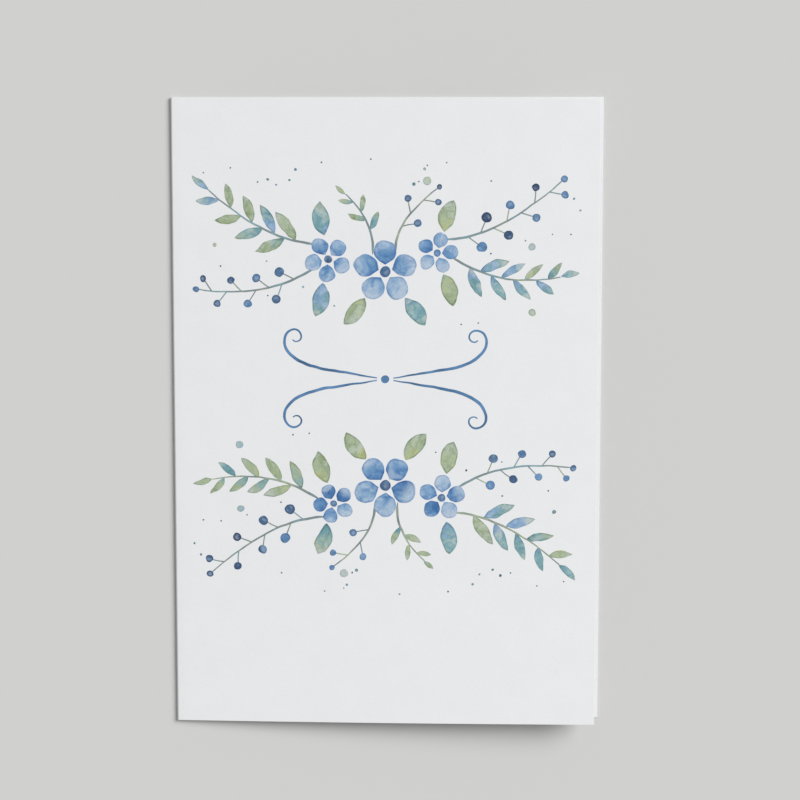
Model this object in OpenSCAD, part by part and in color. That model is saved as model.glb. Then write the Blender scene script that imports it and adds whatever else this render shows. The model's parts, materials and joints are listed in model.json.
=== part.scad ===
// Folded greeting card: one scored and folded sheet of card stock, lying front up,
// with a botanical print on its front panel.

/* [Sheet] */
// Width of the folded card, from the spine to the back panel's free edge
card_w = 115; // [108:0.5:150]
// Height of the card, along the spine
card_h = 170; // [145:0.5:240]
// Thickness of the card stock
stock_t = 0.35; // [0.2:0.01:0.6]
// How far the back panel shows past the front panel's free edge
front_short = 1.4; // [0.2:0.1:3]

/* [Fold] */
// Radius inside the fold
fold_r = 0.25; // [0.15:0.01:0.8]
// Depth to which the scoring rule pressed the spine inwards
score_depth = 0.06; // [0:0.01:0.1]
// Angle at which the front panel springs up out of the fold
spring_angle = 5; // [3:0.1:12]
// Angle that the front panel gives back to its own weight on the way to its free edge
sag_angle = 3; // [0.5:0.1:5]

/* [Print] */
// Width of the front panel that the print's sizes are drawn for; on another panel the print is scaled
print_panel_w = 113.6; // [100:0.1:150]
// Thickness of the colour film
ink_t = 0.03; // [0.02:0.005:0.06]
// Bare paper left between two marks that lie side by side
ink_gap = 0.4; // [0.2:0.05:0.8]
// Distance from the card's top edge down to the middle of the design
design_drop = 75; // [65:0.5:85]
// Distance from the middle of the design to the main blossom of each garland
garland_y = 29; // [26:0.5:34]

/* [Blossoms] */
// Diameter of the main blossom of a garland
main_blossom_d = 17; // [13:0.25:19]
// Diameter of the blossom to its left
left_blossom_d = 12.5; // [9:0.25:14]
// Diameter of the blossom to its right
right_blossom_d = 11; // [8:0.25:13]
// Diameter of the main blossom's eye
eye_d = 2.9; // [1.8:0.1:3.6]

/* [Leaves] */
// Length of the longest leaf on a stem
leaf_l = 10; // [7:0.25:11]
// Length of a leaf that ends such a stem
tip_leaf_l = 6; // [4:0.25:7]
// Width of the longest leaf on a stem
leaf_w = 3.2; // [2:0.1:4]
// Length of a broad leaf beside a blossom
broad_leaf_l = 9; // [6:0.25:10]
// Width of a broad leaf beside a blossom
broad_leaf_w = 4.4; // [3:0.1:5]

/* [Berries] */
// Diameter of the largest berry
berry_d = 2.9; // [2:0.1:3.4]
// Diameter of a berry that ends such a stem
tip_berry_d = 1.8; // [1.2:0.1:2.4]
// Length of a berry's stalk, from the middle of its stem
stalk_l = 3.2; // [1.5:0.1:4]
// Diameter of the largest splash dot
splash_d = 2.4; // [0.6:0.1:2.6]
// Diameter of the smallest splash dot
small_splash_d = 0.4; // [0.3:0.05:0.6]
// Width of the field that splash dots fall on around a garland
splash_field_w = 104; // [80:1:106]
// Height of the field that splash dots fall on around a garland
splash_field_h = 46; // [36:1:50]
// How far that field's middle lies above the main blossom
splash_rise = 7; // [0:0.5:10]

/* [Lines] */
// Reach of a long stem of a garland
stem_l = 28; // [20:0.5:29]
// Reach of a short sprig above the main blossom
sprig_l = 14; // [9:0.5:16]
// How far a stem runs on behind its blossom
stem_lead = 4; // [1:0.25:4.5]
// Width of a stem where it starts
stem_w = 0.7; // [0.4:0.05:1]
// Width of a stem's tip and of a berry's stalk
tip_w = 0.3; // [0.2:0.05:0.5]
// Width of the pen flourish in the middle
flourish_w = 54; // [40:0.5:60]
// Widest part of the flourish's line
pen_w = 0.8; // [0.4:0.05:1.2]
// Diameter of the bead in the middle of the flourish
bead_d = 2.2; // [1:0.1:3]

/* [Hidden] */
$fn = 96;

// Straight steps that the fold, the front panel's arch, a stem and a scroll are drawn in
fold_steps = 16;
front_steps = 24;
stroke_steps = 14;
scroll_steps = 60;

// A unit step in a direction, and a list from its end to its start
function ray(a) = [cos(a), sin(a)];
function reversed(list) = [for (i = [len(list) - 1 : -1 : 0]) list[i]];

// The fold: the turn it makes, the radius of the sheet's own middle line, and its middle
fold_turn = 180 - spring_angle;
mid_r = fold_r + stock_t / 2;
function pressed(u) = score_depth * pow(sin(180 * u), 2);
fold_x = -card_w / 2 + mid_r + stock_t / 2 - pressed(90 / fold_turn);
fold_z = mid_r + stock_t / 2;

// The front panel: where it leaves the fold, its free edge and the radius of its gentle arch
leave_x = fold_x - mid_r * sin(spring_angle);
leave_z = fold_z + mid_r * cos(spring_angle);
edge_x = card_w / 2 - front_short;
edge_angle = spring_angle - sag_angle;
arch_r = (edge_x - leave_x) / (sin(spring_angle) - sin(edge_angle));
crest_z = leave_z + arch_r * (cos(max(edge_angle, 0)) - cos(spring_angle));

// A point of the fold, out to one side of the sheet's middle line
function fold_point(u, out) =
    [fold_x, fold_z] + (mid_r - pressed(u) + out) * ray(270 - fold_turn * u);

// A point of the front panel, out to one side of the sheet's middle line
function front_point(v, out) =
    let (a = spring_angle - sag_angle * v)
    [leave_x, leave_z]
    + arch_r * [sin(spring_angle) - sin(a), cos(a) - cos(spring_angle)]
    + out * [-sin(a), cos(a)];

function fold_side(out) = [for (i = [0 : fold_steps - 1]) fold_point(i / fold_steps, out)];
function front_side(out) = [for (i = [0 : front_steps]) front_point(i / front_steps, out)];

// Extrudes a section of the sheet along the spine
module along_spine() {
    rotate([90, 0, 0])
        linear_extrude(height = card_h, center = true)
            children();
}

// The skin on the outside of the front panel that the print lies in
module front_skin() {
    along_spine()
        polygon(concat(
            front_side(stock_t / 2),
            reversed(front_side(stock_t / 2 + ink_t))
        ));
}

// How much the print is scaled to suit the panel
print_scale = (card_w - front_short) / print_panel_w;

// Turns flat marks into a colour film on the front panel
module film() {
    intersection() {
        front_skin();
        linear_extrude(height = crest_z + stock_t + ink_t)
            translate([-front_short / 2, card_h / 2 - design_drop])
                scale(print_scale)
                    children();
    }
}

// The garland above the middle of the design, and the same one turned half round below it
module both_garlands() {
    for (turn = [0, 180])
        rotate(turn)
            translate([0, garland_y])
                children();
}

// Blossoms of a garland: [place, diameter, turn, directions of its broad leaves]
function beside_main(d, a) = ((main_blossom_d + d) / 2 + 2 * ink_gap) * ray(a);
BLOSSOMS = [
    [[0, 0], main_blossom_d, 18, [232, 306]],
    [beside_main(left_blossom_d, 168), left_blossom_d, 50, [98, 258]],
    [beside_main(right_blossom_d, 20), right_blossom_d, 5, [73, 286]]
];
petal_count = 5;

// Stems of a garland: [blossom, direction, reach, bend, end, marks along it, size of the first],
// with bend and end as shares of the reach, from where the stem leaves the blossom's rim
LEAFY_STEMS = [
    [1, 143, stem_l, [-0.46, 0.07], [-0.93, 0.5], 9, 1],
    [2, 338, stem_l, [0.43, -0.25], [0.96, -0.14], 9, 0.9],
    [0, 112, sprig_l, [-0.07, 0.46], [-0.5, 0.86], 5, 0.6]
];
BERRY_STEMS = [
    [2, 38, stem_l, [0.45, 0.05], [1.02, 0.57], 8, 1],
    [1, 213, stem_l, [-0.43, -0.25], [-1.05, -0.16], 8, 0.9],
    [0, 70, sprig_l, [0.12, 0.48], [0.8, 1], 4, 0.8]
];
STEMS = concat(LEAFY_STEMS, BERRY_STEMS);
function stem_start(s) =
    let (b = BLOSSOMS[s[0]])
    b[0] + (b[1] / 2 + 2 * ink_gap) * ray(s[1]);

// A point of a stem and its direction there, for t from 0 at the blossom's rim to 1 at its tip,
// and the t below 0 at which it starts behind the petals
function stem_at(s, t) = stem_start(s) + s[2] * (2 * t * (1 - t) * s[3] + t * t * s[4]);
function stem_dir(s, t) =
    let (d = (1 - 2 * t) * s[3] + t * s[4])
    atan2(d.y, d.x);
function stem_first(s) = -stem_lead / (2 * s[2] * norm(s[3]));

// Marks sit on alternate sides of a stem, and the last one ends it. A leaf's upper side takes
// the larger share of its width.
leaf_angle = 42;
berry_angle = 50;
upper_share = 0.6;
function mark_side(s, i) = i == s[5] ? 0 : (i % 2 == 0 ? 1 : -1);
function mark_size(s, i, tip) = s[6] * (1 - (1 - tip) * i / s[5]);
function leaf_size(s, i) = mark_size(s, i, tip_leaf_l / leaf_l);
function berry_size(s, i) = mark_size(s, i, tip_berry_d / berry_d);
function mark_base(s, i) = stem_at(s, i / s[5]);
function mark_dir(s, i, angle) = stem_dir(s, i / s[5]) + angle * mark_side(s, i);

// How far a berry hangs from the middle of its stem; the one that ends the stem sits on its tip
function berry_reach(s, i) =
    mark_side(s, i) == 0 ? 0 : stalk_l + berry_d * berry_size(s, i) / 2;

// An arm of the pen flourish: it leaves the bead and curls in more and more tightly
arm_angle = 9;
curl_angle = 420;
function arm_dir(s) = arm_angle + curl_angle * pow(s, 5);
unit_arm = [for (i = 0, p = [0, 0];
    i <= scroll_steps;
    p = p + ray(arm_dir(i / scroll_steps)) / scroll_steps, i = i + 1) p];
arm_start = max(bead_d / 2 + ink_gap, (tip_w + ink_gap) / 2 / sin(arm_angle)) * ray(arm_angle);
arm_scale = (flourish_w / 2 - arm_start.x) / max([for (p = unit_arm) p.x]);
arm_points = [for (p = unit_arm) arm_start + arm_scale * p];
arm_widths = [for (i = [0 : scroll_steps]) tip_w + (pen_w - tip_w) * sin(180 * i / scroll_steps)];

// Spots that cover a garland's other marks and the flourish beside it: [middle, radius]
spot_shares = [0, 0.25, 0.5, 0.75, 1];
SPOTS = concat(
    [for (b = BLOSSOMS) [b[0], b[1] / 2]],
    [for (b = BLOSSOMS, a = b[3], k = spot_shares)
        [b[0] + (b[1] / 2 + ink_gap + k * broad_leaf_l) * ray(a), upper_share * broad_leaf_w]],
    [for (s = LEAFY_STEMS, i = [1 : s[5]], k = spot_shares)
        let (reach = k * leaf_l * leaf_size(s, i))
        [mark_base(s, i) + reach * ray(mark_dir(s, i, leaf_angle)), upper_share * leaf_w]],
    [for (s = BERRY_STEMS, i = [1 : s[5]], k = spot_shares)
        let (reach = k * berry_reach(s, i))
        [mark_base(s, i) + reach * ray(mark_dir(s, i, berry_angle)), berry_d / 2]],
    [for (s = STEMS, i = [0 : stroke_steps]) [stem_at(s, i / stroke_steps), stem_w]],
    [for (p = arm_points, across = [-1, 1]) [[across * p.x, p.y - garland_y], pen_w]]
);

// Splash dots of a garland: scattered over a field around it, clear of all other marks and of each
// dot before. Large ones are rare, and scatter gives a repeatable value from 0 to 1 for each number.
splash_try_count = 70;
splash_rarity = 4;
scatter_angle = 127.1;
function scatter(i) = let (v = 360 * sin(i * scatter_angle)) v - floor(v);
function splash_place(i) = [
    (scatter(i) - 0.5) * splash_field_w,
    (scatter(i + 100) - 0.5) * splash_field_h + splash_rise
];
function splash_size(i) =
    small_splash_d + (splash_d - small_splash_d) * pow(scatter(i + 200), splash_rarity);
function splash_spot(i) = [splash_place(i), splash_size(i) / 2];
function is_clear(i) =
    let (others = concat(SPOTS, [for (k = [1 : 1 : i - 1]) splash_spot(k)]))
    min([for (spot = others) norm(splash_place(i) - spot[0]) - spot[1]]) > splash_size(i) / 2 + ink_gap;
SPLASHES = [for (i = [1 : splash_try_count]) if (is_clear(i)) i];

// A brush line through points, with its width at each one
module stroke(points, widths) {
    last = len(points) - 1;
    sides = [for (i = [0 : last])
        let (d = points[min(i + 1, last)] - points[max(i - 1, 0)])
        [-d.y, d.x] / norm(d) * widths[i] / 2];
    polygon(concat(points - sides, reversed(points + sides)));
}

// A leaf from its base to its tip, two arcs of which the upper takes the larger share of its width
module leaf(l, w) {
    upper = upper_share * w;
    lower = w - upper;
    upper_r = (l * l / 4 + upper * upper) / (2 * upper);
    lower_r = (l * l / 4 + lower * lower) / (2 * lower);
    intersection() {
        translate([l / 2, upper - upper_r])
            circle(upper_r);
        translate([l / 2, lower_r - lower])
            circle(lower_r);
    }
}

// One petal of a blossom of a given diameter: a round that is drawn in to a point at the eye
module petal(d) {
    half_step = 180 / petal_count;
    round_r = (d / 2 * sin(half_step) - ink_gap / 2) / (1 + sin(half_step));
    round_x = d / 2 - round_r;
    point_x = eye_of(d) / 2 + ink_gap;
    meet = 90 + asin(round_r / (round_x - point_x));
    translate([round_x, 0]) {
        circle(round_r);
        polygon([[point_x - round_x, 0], round_r * ray(-meet), round_r * ray(meet)]);
    }
}
function eye_of(d) = eye_d * d / main_blossom_d;

module blossom_marks() {
    both_garlands()
        for (b = BLOSSOMS, i = [1 : petal_count])
            translate(b[0])
                rotate(b[2] + 360 * i / petal_count)
                    petal(b[1]);
}

module leaf_marks() {
    both_garlands() {
        for (b = BLOSSOMS, a = b[3])
            translate(b[0])
                rotate(a)
                    translate([b[1] / 2 + ink_gap, 0])
                        leaf(broad_leaf_l, broad_leaf_w);
        for (s = LEAFY_STEMS, i = [1 : s[5]])
            translate(mark_base(s, i))
                rotate(mark_dir(s, i, leaf_angle))
                    mirror([0, mark_side(s, i) < 0 ? 1 : 0])
                        leaf(leaf_l * leaf_size(s, i), leaf_w * leaf_size(s, i));
    }
}

module berry_marks() {
    both_garlands() {
        for (b = BLOSSOMS)
            translate(b[0])
                circle(d = eye_of(b[1]));
        for (s = BERRY_STEMS, i = [1 : s[5]])
            translate(mark_base(s, i))
                rotate(mark_dir(s, i, berry_angle))
                    translate([berry_reach(s, i), 0])
                        circle(d = berry_d * berry_size(s, i));
        for (i = SPLASHES)
            translate(splash_place(i))
                circle(d = splash_size(i));
    }
}

module flourish() {
    circle(d = bead_d);
    for (across = [0, 1], up = [0, 1])
        mirror([across, 0])
            mirror([0, up])
                stroke(arm_points, arm_widths);
}

module line_marks() {
    both_garlands() {
        for (s = STEMS) {
            first = stem_first(s);
            stroke(
                [for (i = [0 : stroke_steps]) stem_at(s, first + (1 - first) * i / stroke_steps)],
                [for (i = [0 : stroke_steps]) stem_w + (tip_w - stem_w) * i / stroke_steps]
            );
        }
        for (s = BERRY_STEMS, i = [1 : s[5] - 1])
            translate(mark_base(s, i))
                rotate(mark_dir(s, i, berry_angle))
                    translate([0, -tip_w / 2])
                        square([berry_reach(s, i), tip_w]);
    }
    flourish();
}

module folded_card() {
    color("whitesmoke")
        along_spine()
            polygon(concat(
                [[card_w / 2, 0]],
                fold_side(stock_t / 2),
                front_side(stock_t / 2),
                reversed(front_side(-stock_t / 2)),
                reversed(fold_side(-stock_t / 2)),
                [[card_w / 2, stock_t]]
            ));
}

module blossom_print() {
    color("cornflowerblue")
        film()
            blossom_marks();
}

// Where marks of two colours meet, the later one gives way
module berry_print() {
    color("midnightblue")
        film()
            difference() {
                berry_marks();
                blossom_marks();
            }
}

module line_print() {
    color("slategray")
        film()
            difference() {
                line_marks();
                blossom_marks();
                berry_marks();
            }
}

module leaf_print() {
    color("darkseagreen")
        film()
            difference() {
                leaf_marks();
                blossom_marks();
                berry_marks();
                line_marks();
            }
}

folded_card();
blossom_print();
berry_print();
line_print();
leaf_print();
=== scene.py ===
"""Looks of a folded greeting card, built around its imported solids.

The sheet is folded from a flat grid, and the print is painted on it as thin films.
"""

import json
import math
import random
from types import SimpleNamespace

import bmesh
import bpy
from bpy.props import FloatProperty, FloatVectorProperty, IntProperty, PointerProperty
from mathutils import Matrix, Vector
from mathutils.geometry import interpolate_bezier


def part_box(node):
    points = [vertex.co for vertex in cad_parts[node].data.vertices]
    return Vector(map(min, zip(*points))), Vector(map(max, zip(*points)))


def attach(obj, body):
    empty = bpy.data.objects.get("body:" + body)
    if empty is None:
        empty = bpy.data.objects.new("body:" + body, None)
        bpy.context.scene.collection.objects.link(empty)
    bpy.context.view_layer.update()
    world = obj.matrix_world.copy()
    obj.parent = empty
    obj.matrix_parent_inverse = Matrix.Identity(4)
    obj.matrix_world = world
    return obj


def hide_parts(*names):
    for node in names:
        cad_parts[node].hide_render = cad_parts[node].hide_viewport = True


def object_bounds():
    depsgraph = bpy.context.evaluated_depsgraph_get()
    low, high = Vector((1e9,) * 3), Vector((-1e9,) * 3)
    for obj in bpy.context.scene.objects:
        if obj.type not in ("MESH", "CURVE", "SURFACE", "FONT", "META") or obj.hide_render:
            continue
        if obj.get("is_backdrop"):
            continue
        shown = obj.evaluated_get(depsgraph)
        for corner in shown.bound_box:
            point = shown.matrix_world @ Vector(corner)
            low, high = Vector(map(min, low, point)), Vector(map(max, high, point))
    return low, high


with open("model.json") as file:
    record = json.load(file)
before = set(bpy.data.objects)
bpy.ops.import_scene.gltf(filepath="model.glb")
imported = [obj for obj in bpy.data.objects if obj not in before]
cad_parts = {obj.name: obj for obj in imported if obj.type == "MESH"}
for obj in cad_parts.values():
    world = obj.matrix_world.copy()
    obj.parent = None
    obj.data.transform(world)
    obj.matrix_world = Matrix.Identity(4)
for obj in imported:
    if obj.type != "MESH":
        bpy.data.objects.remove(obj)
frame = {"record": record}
CAD_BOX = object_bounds()
SHEET_LOW, SHEET_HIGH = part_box("folded_card")
MM = 0.001
CARD_WIDTH = (SHEET_HIGH.x - SHEET_LOW.x) / MM
CARD_HEIGHT = (SHEET_HIGH.y - SHEET_LOW.y) / MM
FINISHES = {row["slot"]: row["base_color"] for row in frame["record"]["materials"]}

bl_info = {
    "name": "Folded greeting card",
    "version": (1, 0, 0),
    "blender": (4, 5, 0),
    "location": "View3D > Sidebar > Card",
    "description": "Folds a sheet of card stock and paints a botanical print on its front",
    "category": "Add Mesh",
}


# Settings


def number(name, description, default, **more):
    """A number, plain or more closely described."""
    return FloatProperty(name=name, description=description, default=default, **more)


def length(name, description, millimetres):
    """A length, with its default given in millimetres."""
    return number(name, description, millimetres * MM, min=0.0, precision=5, unit="LENGTH")


def angle(name, description, degrees):
    """An angle, with its default given in degrees."""
    return number(name, description, math.radians(degrees), subtype="ANGLE")


def vector(name, description, default, subtype, **more):
    """Three numbers that belong together."""
    return FloatVectorProperty(
        name=name, description=description, default=default, size=3, subtype=subtype, **more
    )


def colour(name, description, default):
    """A colour in linear light."""
    return vector(name, description, default, "COLOR", min=0.0, max=1.0)


class CardSheetSettings(bpy.types.PropertyGroup):
    """The folded sheet"""

    width: length("Width", "From the spine to the back panel's free edge", CARD_WIDTH)
    height: length("Height", "Height of the card, along the spine", CARD_HEIGHT)
    stock: length("Stock", "Thickness of the card stock", 0.35)
    front_short: length("Front short", "How far the back panel shows past the front", 1.4)
    fold_radius: length("Fold radius", "Radius inside the fold", 0.25)
    score_depth: length("Score", "Depth to which the spine is pressed inwards", 0.06)
    spring: angle("Spring", "Angle at which the front panel leaves the fold", 5)
    sag: angle("Sag", "Angle that the front panel loses towards its free edge", 3)
    edge_round: length("Edge round", "Rounding of the cut edges", 0.05)
    white: colour("White", "Colour of the card stock", FINISHES["card_stock"])
    cut_white: colour("Cut edge", "Colour of the cut edges", (0.74, 0.735, 0.72))


class CardPrintSettings(bpy.types.PropertyGroup):
    """The print on the front panel"""

    panel: length("Panel", "Width of the panel that the print is drawn for", 113.6)
    film: length("Film", "Thickness of the colour film", 0.03)
    gap: length("Gap", "Bare paper between marks that lie side by side", 0.4)
    drop: length("Drop", "From the top edge down to the middle of the design", 75)
    garland: length("Garland", "From the middle of the design to a main blossom", 29)
    main_blossom: length("Main blossom", "Diameter of the main blossom", 17)
    left_blossom: length("Left blossom", "Diameter of the blossom to its left", 12.5)
    right_blossom: length("Right blossom", "Diameter of the blossom to its right", 11)
    eye: length("Eye", "Diameter of the main blossom's eye", 2.9)
    leaf: length("Leaf", "Length of the longest leaf on a stem", 10)
    tip_leaf: length("Tip leaf", "Length of the leaf that ends a stem", 6)
    leaf_width: length("Leaf width", "Width of the longest leaf on a stem", 3.2)
    broad_leaf: length("Broad leaf", "Length of a leaf beside a blossom", 9)
    broad_width: length("Broad width", "Width of a leaf beside a blossom", 4.4)
    berry: length("Berry", "Diameter of the largest berry", 2.9)
    tip_berry: length("Tip berry", "Diameter of the berry that ends a stem", 1.8)
    stalk: length("Stalk", "From the middle of a stem to a berry", 3.2)
    splash: length("Splash", "Diameter of the largest splash dot", 2.4)
    small_splash: length("Small splash", "Diameter of the smallest splash dot", 0.4)
    field_width: length("Field width", "Width of the field of splash dots", 104)
    field_height: length("Field height", "Height of the field of splash dots", 46)
    field_rise: length("Field rise", "Field's middle above the main blossom", 7)
    stem: length("Stem", "Reach of a long stem", 28)
    sprig: length("Sprig", "Reach of a short sprig", 14)
    lead: length("Lead", "How far a stem runs on behind its blossom", 4)
    stem_width: length("Stem width", "Width of a stem where it starts", 0.7)
    tip_width: length("Tip width", "Width of a stem's tip and of a stalk", 0.3)
    flourish: length("Flourish", "Width of the pen flourish", 54)
    pen: length("Pen", "Widest part of the flourish's line", 0.8)
    bead: length("Bead", "Diameter of the bead in the flourish", 2.2)
    wobble: length("Wobble", "How unsteady the painted outlines are", 0.75)
    seed: IntProperty(name="Seed", description="Choice of the tints", default=11, min=0)


class CardPaintSettings(bpy.types.PropertyGroup):
    """The colours of the print"""

    lilac: colour("Lilac", "Palest blue wash", (0.46, 0.56, 0.68))
    sky: colour("Sky", "Middle blue wash", (0.25, 0.4, 0.59))
    heart: colour("Heart blue", "Full blue wash", (0.125, 0.27, 0.49))
    cobalt: colour("Cobalt", "Deepest blue", (0.05, 0.15, 0.36))
    mist: colour("Mist", "Palest green wash", (0.52, 0.58, 0.53))
    teal: colour("Teal", "Blue-green wash", (0.24, 0.42, 0.46))
    deep_teal: colour("Deep teal", "Deepest blue-green", (0.11, 0.26, 0.3))
    sage: colour("Sage", "Grey-green wash", (0.41, 0.49, 0.34))
    olive: colour("Olive", "Deepest green", (0.25, 0.33, 0.17))
    lime: colour("Lime", "Yellow-green wash", (0.47, 0.5, 0.2))
    navy: colour("Navy", "Berries and eyes", (0.03, 0.055, 0.12))
    slate: colour("Slate", "Stems", (0.2, 0.24, 0.25))
    pen_blue: colour("Pen blue", "Flourish", (0.055, 0.13, 0.25))


class CardStageSettings(bpy.types.PropertyGroup):
    """The floor, the light and the camera"""

    floor_side: length("Floor", "Side of the floor", 60000)
    floor: colour("Floor colour", "Colour of the floor", (0.6, 0.6, 0.59))
    lens: number("Lens", "Focal length in millimetres", 144.0, min=1.0)
    place: vector(
        "Camera place", "Where the camera stands", (-0.0117, 0.1459, 0.8514), "TRANSLATION"
    )
    tilt: angle("Tilt", "Camera's tilt towards the card's foot", 9.5)
    yaw: angle("Yaw", "Camera's turn to one side", -1.0)
    roll: angle("Roll", "Camera's turn in the picture", 0.14)
    key: number("Key", "Strength of the main light", 3.15, min=0.0)
    key_from: vector("Key from", "Where the main light is", (0.61, 0.45, 0.65), "DIRECTION")
    key_spread: angle("Key spread", "How wide the main light looks from the card", 35)
    sky: number("Sky", "Strength of the light all round", 0.4, min=0.0)


# Modelling


def start(name):
    """Takes what was just added as a new piece, and opens it in edit mode."""
    piece = bpy.context.object
    piece.name = name
    piece.data.name = name
    bpy.ops.object.mode_set(mode="EDIT")
    bpy.ops.mesh.select_mode(type="VERT")
    bpy.ops.mesh.select_all(action="SELECT")
    return piece


def done():
    """Closes the piece that is open in edit mode."""
    bpy.ops.object.mode_set(mode="OBJECT")


def close_outwards():
    """Turns all faces of the open piece outwards, and closes it."""
    bpy.ops.mesh.select_all(action="SELECT")
    bpy.ops.mesh.normals_make_consistent(inside=False)
    done()


def deselect():
    """Leaves edit mode and lets go of every piece."""
    if bpy.context.object and bpy.context.object.mode != "OBJECT":
        done()
    bpy.ops.object.select_all(action="DESELECT")


def only(piece):
    """Selects one piece and makes it the active one."""
    deselect()
    piece.select_set(True)
    bpy.context.view_layer.objects.active = piece


def pick(piece, kind, test):
    """Selects what passes a test in a piece in edit mode: vertices, edges or faces."""
    bpy.ops.mesh.select_mode(type=kind)
    bpy.ops.mesh.select_all(action="DESELECT")
    mesh = bmesh.from_edit_mesh(piece.data)
    items = {"VERT": mesh.verts, "EDGE": mesh.edges, "FACE": mesh.faces}[kind]
    for item in items:
        if test(item):
            item.select_set(True)
    mesh.select_flush_mode()
    bmesh.update_edit_mesh(piece.data)


def modify(piece, kind, **settings):
    """Adds a modifier to a piece, sets it up and applies it."""
    only(piece)
    bpy.ops.object.modifier_add(type=kind)
    modifier = piece.modifiers[-1]
    for key, value in settings.items():
        setattr(modifier, key, value)
    bpy.ops.object.modifier_apply(modifier=modifier.name)


def face_up(piece):
    """Turns the faces of a flat piece in edit mode to look up."""
    pick(piece, "FACE", lambda face: face.normal.z < 0)
    bpy.ops.mesh.flip_normals()


def hand_in(piece, node):
    """Puts a finished piece in the place of its node."""
    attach(piece, "root")
    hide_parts(node)


# The sheet

FOLD_STEPS = 24
ARCH_STEPS = 48
COLUMNS = 24
ROWS = 34
EDGE_STEPS = 2
CUT_CORNER = math.radians(50)
CUT_FACING = 0.6
SHEET_SMOOTHING = math.radians(20)


def middle_line(sheet):
    """The sheet's middle line: its turn and the centres of the fold and the arch."""
    bend = sheet.fold_radius + sheet.stock / 2
    turn = math.pi - sheet.spring
    side = math.pi / 2 / turn
    fold_x = -sheet.width / 2 + bend + sheet.stock / 2 - pressed(sheet, side)
    fold_z = bend + sheet.stock / 2
    leave_x = fold_x - bend * math.sin(sheet.spring)
    leave_z = fold_z + bend * math.cos(sheet.spring)
    reach = sheet.width / 2 - sheet.front_short - leave_x
    arch = reach / (math.sin(sheet.spring) - math.sin(sheet.spring - sheet.sag))
    fold = Vector((fold_x, 0, fold_z))
    arch_x = leave_x + arch * math.sin(sheet.spring)
    arch_z = leave_z - arch * math.cos(sheet.spring)
    return SimpleNamespace(turn=turn, fold=fold, arch=Vector((arch_x, 0, arch_z)))


def pressed(sheet, along):
    """How deep the spine is pressed in at a share of the way round the fold."""
    return sheet.score_depth * math.sin(math.pi * along) ** 2


def in_fold_row(sheet, line, out):
    """A test for the fold's vertices that lie one way out from its middle."""
    near = 2 * (sheet.fold_radius + sheet.stock)
    slack = line.turn / FOLD_STEPS / 4

    def test(vertex):
        offset = vertex.co - line.fold
        offset.y = 0
        return offset.length < near and offset.angle(out, math.pi) < slack

    return test


def press_score(piece, sheet, line):
    """Moves each row of the fold in towards the middle of its bend."""
    for step in range(1, FOLD_STEPS):
        along = step / FOLD_STEPS
        out = Vector((-math.sin(line.turn * along), 0, -math.cos(line.turn * along)))
        pick(piece, "VERT", in_fold_row(sheet, line, out))
        bpy.ops.transform.translate(value=-out * pressed(sheet, along))


def is_cut(face):
    """Whether a face lies on the sheet's cut edges."""
    on_free_edge = face.normal.x > CUT_FACING and face.calc_center_median().x > 0
    return on_free_edge or abs(face.normal.y) > CUT_FACING


class CARD_OT_fold_sheet(bpy.types.Operator):
    """Folds a flat sheet of stock at its score and lets the front panel spring up"""

    bl_idname = "card.fold_sheet"
    bl_label = "Fold the sheet"

    def execute(self, context):
        sheet = context.scene.card_sheet
        line = middle_line(sheet)
        deselect()
        bpy.ops.mesh.primitive_grid_add(x_subdivisions=COLUMNS, y_subdivisions=ROWS, size=1)
        piece = start("folded_sheet")
        back = sheet.width / 2 - line.fold.x
        bpy.ops.transform.resize(value=(back, sheet.height, 1))
        bpy.ops.transform.translate(value=(line.fold.x + back / 2, 0, sheet.stock / 2))
        near = line.fold.x + sheet.stock / 4
        pick(piece, "EDGE", lambda edge: all(v.co.x < near for v in edge.verts))
        fold = (FOLD_STEPS, line.turn, line.fold)
        arch = (ARCH_STEPS, sheet.sag, line.arch)
        for steps, turn, centre in (fold, arch):
            bpy.ops.mesh.spin(steps=steps, angle=-turn, center=centre, axis=(0, 1, 0))
        press_score(piece, sheet, line)
        close_outwards()
        modify(piece, "SOLIDIFY", thickness=sheet.stock, offset=0, use_even_offset=True)
        corners = {"limit_method": "ANGLE", "angle_limit": CUT_CORNER}
        modify(piece, "BEVEL", width=sheet.edge_round, segments=EDGE_STEPS, **corners)
        piece.data.materials.append(card_stock(sheet))
        piece.data.materials.append(cut_edge(sheet))
        only(piece)
        bpy.ops.object.mode_set(mode="EDIT")
        pick(piece, "FACE", is_cut)
        piece.active_material_index = 1
        bpy.ops.object.material_slot_assign()
        close_outwards()
        bpy.ops.object.shade_smooth_by_angle(angle=SHEET_SMOOTHING)
        hand_in(piece, "folded_card")
        return {"FINISHED"}


# Layout of the print


def ray(degrees):
    """A unit step in a direction."""
    return Vector((math.cos(math.radians(degrees)), math.sin(math.radians(degrees))))


# Blossoms of a garland: size, direction from the main one, turn, directions of its leaves
BLOSSOMS = (
    ("main_blossom", None, 18, (232, 306)),
    ("left_blossom", 168, 50, (98, 258)),
    ("right_blossom", 20, 5, (73, 286)),
)


def blossoms(art):
    """The blossoms of a garland, with the main one in the middle."""
    found = []
    for size, degrees, turn, beside in BLOSSOMS:
        across = getattr(art, size)
        place = Vector((0, 0))
        if degrees is not None:
            place = ray(degrees) * ((art.main_blossom + across) / 2 + 2 * art.gap)
        found.append(SimpleNamespace(place=place, across=across, turn=turn, leaves=beside))
    return found


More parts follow.
